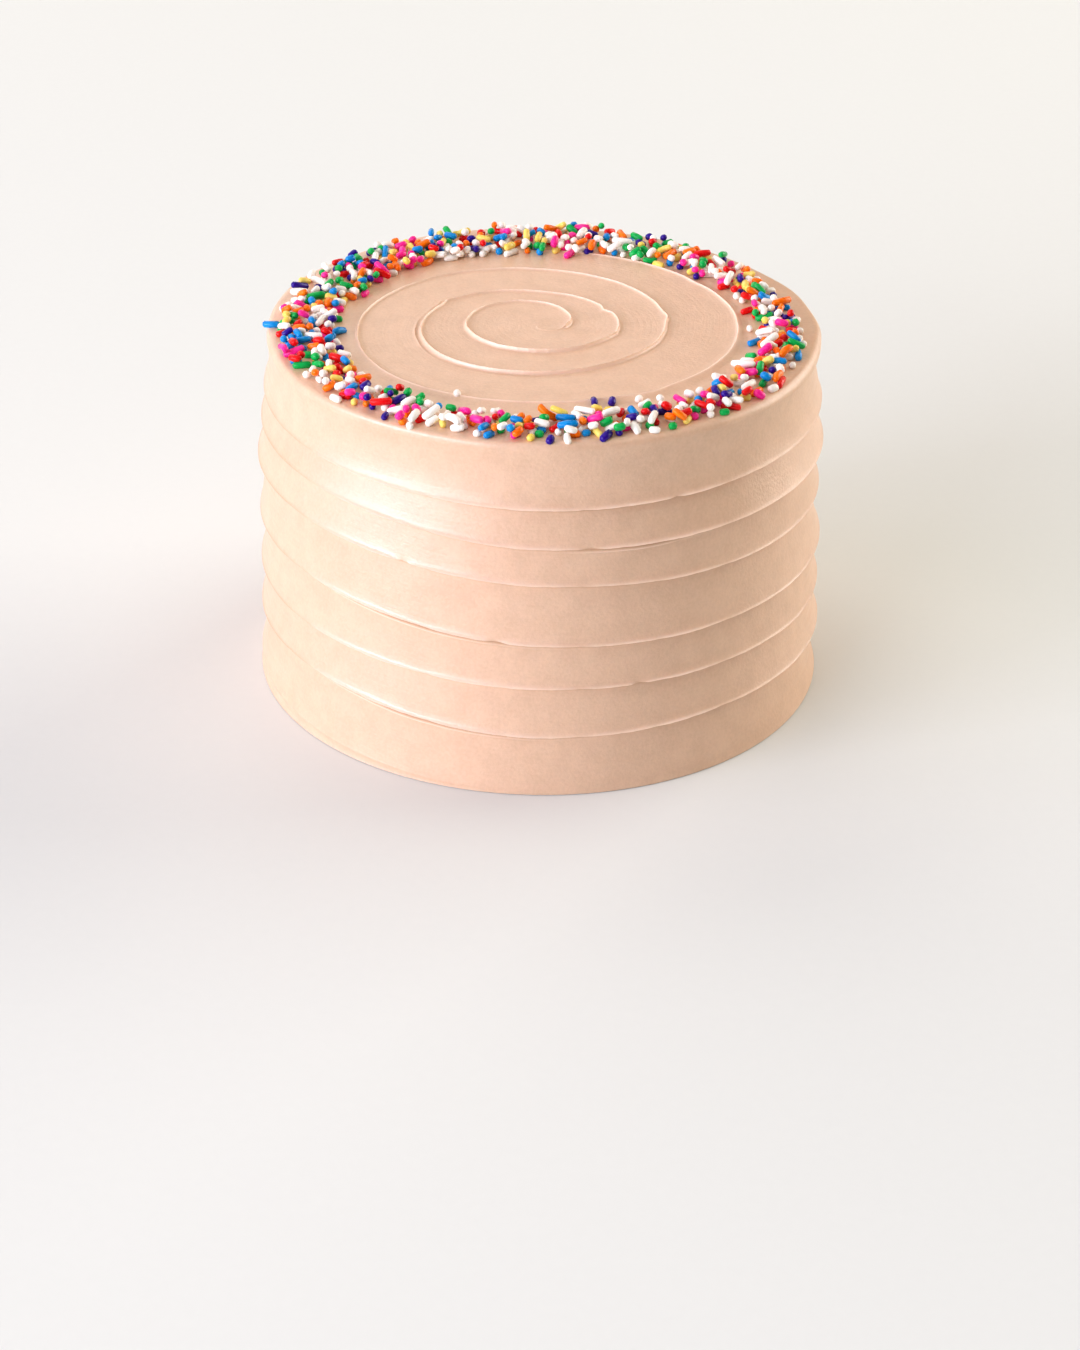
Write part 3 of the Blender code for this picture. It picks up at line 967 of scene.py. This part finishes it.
@dataclass
class SprinkleRing:
    """Rod sprinkles scattered round the top's edge, one mesh for each colour.

    Lengths are in metres. Each rod is let down until it lies on the icing or on rods under it.
    """

    coat: IcingCoat
    count: int = 860
    tries_each: int = 20
    seed: int = 24

    # One rod: its girth is a range round the thickness, its waist is up to so much narrower
    thickness: float = 2.08 * MM
    length_mean: float = 3.4 * MM
    length_spread: float = 1.2 * MM
    length_range: tuple[float, float] = (2.2 * MM, 6.8 * MM)
    girths: tuple[float, float] = (0.9, 1.12)
    waist: float = 0.1
    bend: float = 0.06
    sides: int = 8
    rings: int = 6

    # How the rods lie
    sink: float = 0.3 * MM
    ragged: float = 0.9 * MM
    pile: float = 3.3 * MM
    steepest: float = 0.7
    squeeze: float = 0.93
    rim_share: float = 0.98

    # The ring's inner and outer edges in mm, and how crowded it is, every eighth of a turn from
    # the right round by the back
    inner: tuple[float, ...] = (59.0, 57.0, 52.5, 54.5, 57.0, 62.0, 63.0, 61.5)
    outer: tuple[float, ...] = (69.5, 69.5, 70.0, 71.0, 71.5, 73.0, 73.8, 72.5)
    crowd: tuple[float, ...] = (0.8, 0.8, 0.8, 1.15, 1.2, 1.1, 0.8, 1.15)

    # Sprinkles that lie clear of the ring: across and back in mm, length in mm, heading in degrees
    strays: tuple[tuple[float, float, float, float, Colour], ...] = (
        (43.4, 35.8, 2.3, 80.0, Colour.VIOLET),
        (-49.9, 19.4, 3.2, 70.0, Colour.PINK),
        (-22.0, -47.5, 2.8, 100.0, Colour.WHITE),
        (13.6, -51.0, 3.8, 95.0, Colour.VIOLET),
        (18.2, -51.0, 3.6, 85.0, Colour.VIOLET),
        (25.2, -49.2, 2.8, 70.0, Colour.WHITE),
        (6.6, -73.8, 3.6, 100.0, Colour.WHITE),
        (-74.2, -3.4, 5.0, 170.0, Colour.BLUE),
    )

    @property
    def widest(self) -> float:
        """The most that the ring's width times its crowding comes to, in mm."""
        edges = zip(self.inner, self.outer, self.crowd)
        return max(crowd * (outer - inner) for inner, outer, crowd in edges)

    def around(self, row: tuple[float, ...], angle: float) -> float:
        """Reads one of the ring's rows of sizes at an angle."""
        return float(np.interp(angle / TURN * len(row), np.arange(len(row) + 1), [*row, row[0]]))

    def ground(self, spots: np.ndarray) -> np.ndarray:
        """Height of the icing, over the rounded rim too.

        Args:
            spots: Places seen from above.

        Returns:
            The icing's height under each place.
        """
        reach = np.hypot(spots[:, 0], spots[:, 1])
        rounding = self.coat.rim_round
        past = np.clip(reach - (self.coat.side - rounding), 0.0, rounding * self.rim_share)
        drop = rounding - np.sqrt(rounding**2 - past**2)
        return self.coat.height - drop

    def settle(
        self, spot: np.ndarray, yaw: float, length: float, balls: np.ndarray
    ) -> tuple[float, float] | None:
        """Lets a rod down onto what lies under it.

        Args:
            spot: The rod's middle, seen from above.
            yaw: Its heading.
            length: Its length.
            balls: Middles of the balls that make up the rods already laid.

        Returns:
            The height of its middle and its slope, or None where it would slide off.
        """
        half = 0.5 * (length - self.thickness)
        steps = np.linspace(-half, half, max(3, 2 * round(half / (0.5 * self.thickness)) + 1))
        line = spot[None, :] + steps[:, None] * np.array([math.cos(yaw), math.sin(yaw)])[None, :]
        rest = self.ground(line) + 0.5 * self.thickness - self.sink
        if len(balls):
            aside = np.hypot(balls[:, 0] - spot[0], balls[:, 1] - spot[1])
            close = balls[aside < half + 2.0 * self.thickness]
            if len(close):
                away = np.hypot(line[:, :1] - close[None, :, 0], line[:, 1:] - close[None, :, 1])
                touch = self.thickness * self.squeeze
                lift = np.sqrt(np.maximum(touch**2 - away**2, 0.0))
                over = np.where(away < touch, close[None, :, 2] + lift, -1.0)
                rest = np.maximum(rest, over.max(axis=1))
        # It rests on two spots, one to each side of its middle, that hold the middle highest
        best, slope = -1.0, 0.0
        for i in np.flatnonzero(steps <= 0.0):
            for j in np.flatnonzero(steps >= 0.0):
                run = steps[j] - steps[i]
                lean = (rest[j] - rest[i]) / run if run > 0.0 else 0.0
                middle = rest[i] - lean * steps[i]
                if middle > best:
                    best, slope = middle, lean
        return (best, slope) if abs(slope) < self.steepest else None

    def rod_shape(self) -> tuple[np.ndarray, list[tuple[int, ...]]]:
        """One rod along X, of unit radius at both ends and no length between them.

        Returns:
            Its vertices and its faces. The vertices' side of the middle says which end they go with.
        """
        deselect_all()
        bpy.ops.mesh.primitive_uv_sphere_add(segments=self.sides, ring_count=self.rings, radius=1.0)
        ball = bpy.context.active_object
        bpy.ops.object.mode_set(mode="EDIT")
        bpy.ops.mesh.select_all(action="SELECT")
        bpy.ops.transform.rotate(value=0.5 * math.pi, orient_axis="Y", center_override=(0.0, 0.0, 0.0))
        bpy.ops.object.mode_set(mode="OBJECT")
        verts = np.array([vert.co[:] for vert in ball.data.vertices])
        # The operator can number a ball's corners anew in each run, so they get a fixed order
        order = np.lexsort(np.round(verts, 4).T)
        rank = np.argsort(order)
        faces = []
        for face in ball.data.polygons:
            corners = [int(rank[corner]) for corner in face.vertices]
            first = corners.index(min(corners))
            faces.append(tuple(corners[first:] + corners[:first]))
        bpy.data.objects.remove(ball, do_unlink=True)
        return verts[order], sorted(faces)

    def lay(self) -> dict[Colour, list[tuple[Matrix, float, float]]]:
        """Finds a resting place for every sprinkle.

        Returns:
            For each colour, the placement, length and girth of its rods.
        """
        draw = np.random.default_rng(self.seed)
        colours = list(Colour)
        shares = np.array([colour.share for colour in colours])
        laid: dict[Colour, list[tuple[Matrix, float, float]]] = {colour: [] for colour in colours}
        balls = np.zeros((0, 3))
        wanted = [
            (np.array([across * MM, back * MM]), math.radians(heading), length * MM, colour)
            for across, back, length, heading, colour in self.strays
        ]
        tries, number = 0, 0
        while number < self.count and tries < self.tries_each * self.count:
            tries += 1
            if wanted:
                spot, yaw, length, colour = wanted.pop(0)
            else:
                angle = draw.uniform(0.0, TURN)
                rows = (self.inner, self.outer, self.crowd)
                inner, outer, crowd = (self.around(row, angle) for row in rows)
                if draw.uniform(0.0, self.widest) > crowd * (outer - inner):
                    continue
                reach = MM * draw.uniform(inner, outer) + draw.normal(0.0, self.ragged)
                spot = reach * np.array([math.cos(angle), math.sin(angle)])
                yaw = draw.uniform(0.0, math.pi)
                length = draw.normal(self.length_mean, self.length_spread)
                length = float(np.clip(length, *self.length_range))
                colour = colours[draw.choice(len(colours), p=shares / shares.sum())]
            found = self.settle(spot, yaw, length, balls)
            if found is None or found[0] > self.coat.height + self.pile:
                continue
            height, slope = found
            tilt = math.atan(slope)
            half = 0.5 * (length - self.thickness)
            steps = np.linspace(-half, half, max(2, round(2.0 * half / (0.5 * self.thickness)) + 1))
            flat = math.cos(tilt)
            way = np.array([math.cos(yaw) * flat, math.sin(yaw) * flat, math.sin(tilt)])
            middle = np.array([spot[0], spot[1], height])
            balls = np.vstack([balls, middle + steps[:, None] * way])
            roll = draw.uniform(0.0, TURN)
            turn = Euler((roll, -tilt, yaw)).to_matrix().to_4x4()
            girth = float(draw.uniform(*self.girths))
            laid[colour].append((Matrix.Translation(Vector(middle)) @ turn, length, girth))
            number += 1
        log.info("sprinkles laid: %d in %d tries", number, tries)
        return laid

    def colour_mesh(
        self,
        colour: Colour,
        rods: list[tuple[Matrix, float, float]],
        shape: tuple[np.ndarray, list[tuple[int, ...]]],
        draw: np.random.Generator,
    ) -> bpy.types.Object:
        """Joins all the rods of one colour into one piece.

        Args:
            colour: The rods' colour.
            rods: Placement, length and girth of each.
            shape: The rod that is copied.
            draw: Draws the small differences between rods.

        Returns:
            The dressed piece.
        """
        ball, ball_faces = shape
        end = np.sign(np.round(ball[:, 0], 4))
        places, faces = [], []
        for number, (placed, length, girth) in enumerate(rods):
            radius = 0.5 * self.thickness * girth
            verts = ball * radius
            reach = max(0.0, 0.5 * length - radius)
            narrow = 1.0 - draw.uniform(0.0, self.waist) * (end == 0.0)
            verts[:, 1:] *= narrow[:, None]
            verts[:, 0] += end * reach
            bend = draw.normal(0.0, self.bend)
            verts[:, 1] += bend * reach * (1.0 - (verts[:, 0] / max(reach, radius)) ** 2)
            turned = verts @ np.array(placed.to_3x3()).T + np.array(placed.translation)
            places.append(turned)
            faces.extend(tuple(corner + number * len(ball) for corner in face) for face in ball_faces)
        mesh = bpy.data.meshes.new(f"sprinkles_{colour.name.lower()}")
        mesh.from_pydata(np.vstack(places), [], faces)
        mesh.update()
        piece = bpy.data.objects.new(mesh.name, mesh)
        bpy.context.scene.collection.objects.link(piece)
        mesh.shade_smooth()
        mesh.materials.append(colour.finish.material())
        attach(piece, BODY)
        log.info("%s: %d rods", piece.name, len(rods))
        return piece

    def build(self) -> list[bpy.types.Object]:
        """Lays the sprinkles and makes one piece of each colour.

        Returns:
            The dressed pieces.
        """
        laid = self.lay()
        shape = self.rod_shape()
        draw = np.random.default_rng(self.seed + 1)
        return [self.colour_mesh(colour, rods, shape, draw) for colour, rods in laid.items()]


# The studio


@dataclass(frozen=True)
class PaperSweep:
    """A matt pale sweep of card, which gives the eye an even warm white with a faint tooth."""

    name: str = "matt_card_sweep"
    colour: str = "#E1E4DF"
    shade: str = "#DFE2DD"
    roughness: float = 0.85
    # The real tooth is finer; it is drawn this coarse so that it shows
    tooth_mm: float = 3.0

    def material(self) -> bpy.types.Material:
        """Builds the floor's material.

        Returns:
            A matt Principled material with a faint tooth in its colour.
        """
        made = bpy.data.materials.new(self.name)
        made.use_nodes = True
        shader = made.node_tree.nodes["Principled BSDF"]
        shader.inputs["Roughness"].default_value = self.roughness
        place = add_node(made, "TexCoord")
        tooth = add_node(
            made,
            "TexNoise",
            {"Scale": 1.0 / (self.tooth_mm * MM), "Detail": 2.0},
            {"Vector": place.outputs["Object"]},
        )
        tint = add_node(
            made,
            "Mix",
            {"data_type": "RGBA", 6: linear(self.colour), 7: linear(self.shade)},
            {"Factor": tooth.outputs["Fac"]},
        )
        made.node_tree.links.new(tint.outputs[2], shader.inputs["Base Color"])
        return made


@dataclass(frozen=True)
class Softbox:
    """A large square soft light that looks at the cake.

    Attributes:
        name: Where it stands.
        azimuth: Its angle from the camera's side, in degrees, to the right.
        elevation: Its angle above the floor, in degrees.
        distance: How far off it is, in metres.
        size: Its side, in metres.
        power: Its power, in watts.
        colour: The colour of its light.
    """

    name: str
    azimuth: float
    elevation: float
    distance: float
    size: float
    power: float
    colour: str = "#FFFFFF"

    def build(self) -> None:
        """Hangs the light and turns it to the cake."""
        across, up = math.radians(self.azimuth), math.radians(self.elevation)
        flat = self.distance * math.cos(up)
        spot = Vector((flat * math.sin(across), -flat * math.cos(across), self.distance * math.sin(up)))
        data = bpy.data.lights.new(self.name, "AREA")
        data.shape = "SQUARE"
        data.size = self.size
        data.energy = self.power
        data.color = linear(self.colour)[:3]
        light = bpy.data.objects.new(self.name, data)
        light.location = spot
        light.rotation_euler = (-spot).to_track_quat("-Z", "Y").to_euler()
        bpy.context.scene.collection.objects.link(light)


@dataclass
class Studio:
    """Floor, soft light and camera. The camera stands where the photograph was taken from."""

    camera_back: float = 745.0 * MM
    camera_across: float = 0.6 * MM
    camera_height: float = 417.0 * MM
    pitch: float = math.radians(29.75)
    roll: float = math.radians(0.85)
    lens_mm: float = 78.13
    floor_size: float = 8.0
    floor_gap: float = 0.2 * MM
    sky: str = "#FFFDFB"
    sky_strength: float = 0.01
    finish: PaperSweep = PaperSweep()
    softboxes: tuple[Softbox, ...] = (
        Softbox("left_front_softbox", -35.0, 15.0, 3.0, 1.2, 44.0, "#E6EDFB"),
        Softbox("left_softbox", -60.0, 15.0, 3.0, 1.2, 67.0, "#E9EAFF"),
        Softbox("left_side_softbox", -80.0, 15.0, 3.0, 1.2, 12.0, "#F4E2FF"),
        Softbox("left_window", -70.0, 25.0, 3.0, 3.4, 34.0, "#F4E4FF"),
        Softbox("right_low_softbox", 105.0, 10.0, 3.0, 2.0, 19.0, "#FFEEDA"),
        Softbox("right_back_softbox", 120.0, 20.0, 3.0, 2.4, 86.0, "#FFF8F1"),
        Softbox("back_softbox", -150.0, 30.0, 3.0, 3.4, 61.0, "#FFF8F1"),
        Softbox("top_softbox", 0.0, 80.0, 3.0, 3.0, 33.0, "#FFF8F1"),
    )

    def floor(self) -> None:
        """A wide pale floor, a hair under the cake's base."""
        deselect_all()
        bpy.ops.mesh.primitive_plane_add(size=self.floor_size, location=(0.0, 0.0, -self.floor_gap))
        sweep = bpy.context.active_object
        sweep.name = "floor"
        sweep.data.materials.append(self.finish.material())

    def sky_light(self) -> None:
        """Even light from the white room all round."""
        world = bpy.data.worlds.new("white_room")
        bpy.context.scene.world = world
        world.use_nodes = True
        back = world.node_tree.nodes["Background"]
        back.inputs["Color"].default_value = linear(self.sky)
        back.inputs["Strength"].default_value = self.sky_strength

    def camera(self) -> None:
        """The camera, at the photograph's place, tilt and focal length."""
        data = bpy.data.cameras.new("camera")
        data.lens = self.lens_mm
        camera = bpy.data.objects.new("camera", data)
        tilt = Euler((0.5 * math.pi - self.pitch, 0.0, 0.0)).to_matrix()
        turn = tilt @ Matrix.Rotation(self.roll, 3, "Z")
        place = Matrix.Translation((self.camera_across, -self.camera_back, self.camera_height))
        camera.matrix_world = place @ turn.to_4x4()
        bpy.context.scene.collection.objects.link(camera)
        bpy.context.scene.camera = camera

    def build(self) -> None:
        """Sets up the whole studio."""
        self.floor()
        for softbox in self.softboxes:
            softbox.build()
        self.sky_light()
        self.camera()
        bpy.context.scene.view_settings.view_transform = "Standard"


def main() -> None:
    """Builds the cake's pieces and the studio."""
    logging.basicConfig(level=logging.INFO)
    coat = IcingCoat()
    coat.build()
    SprinkleRing(coat).build()
    Studio().build()


if __name__ == "__main__":
    main()
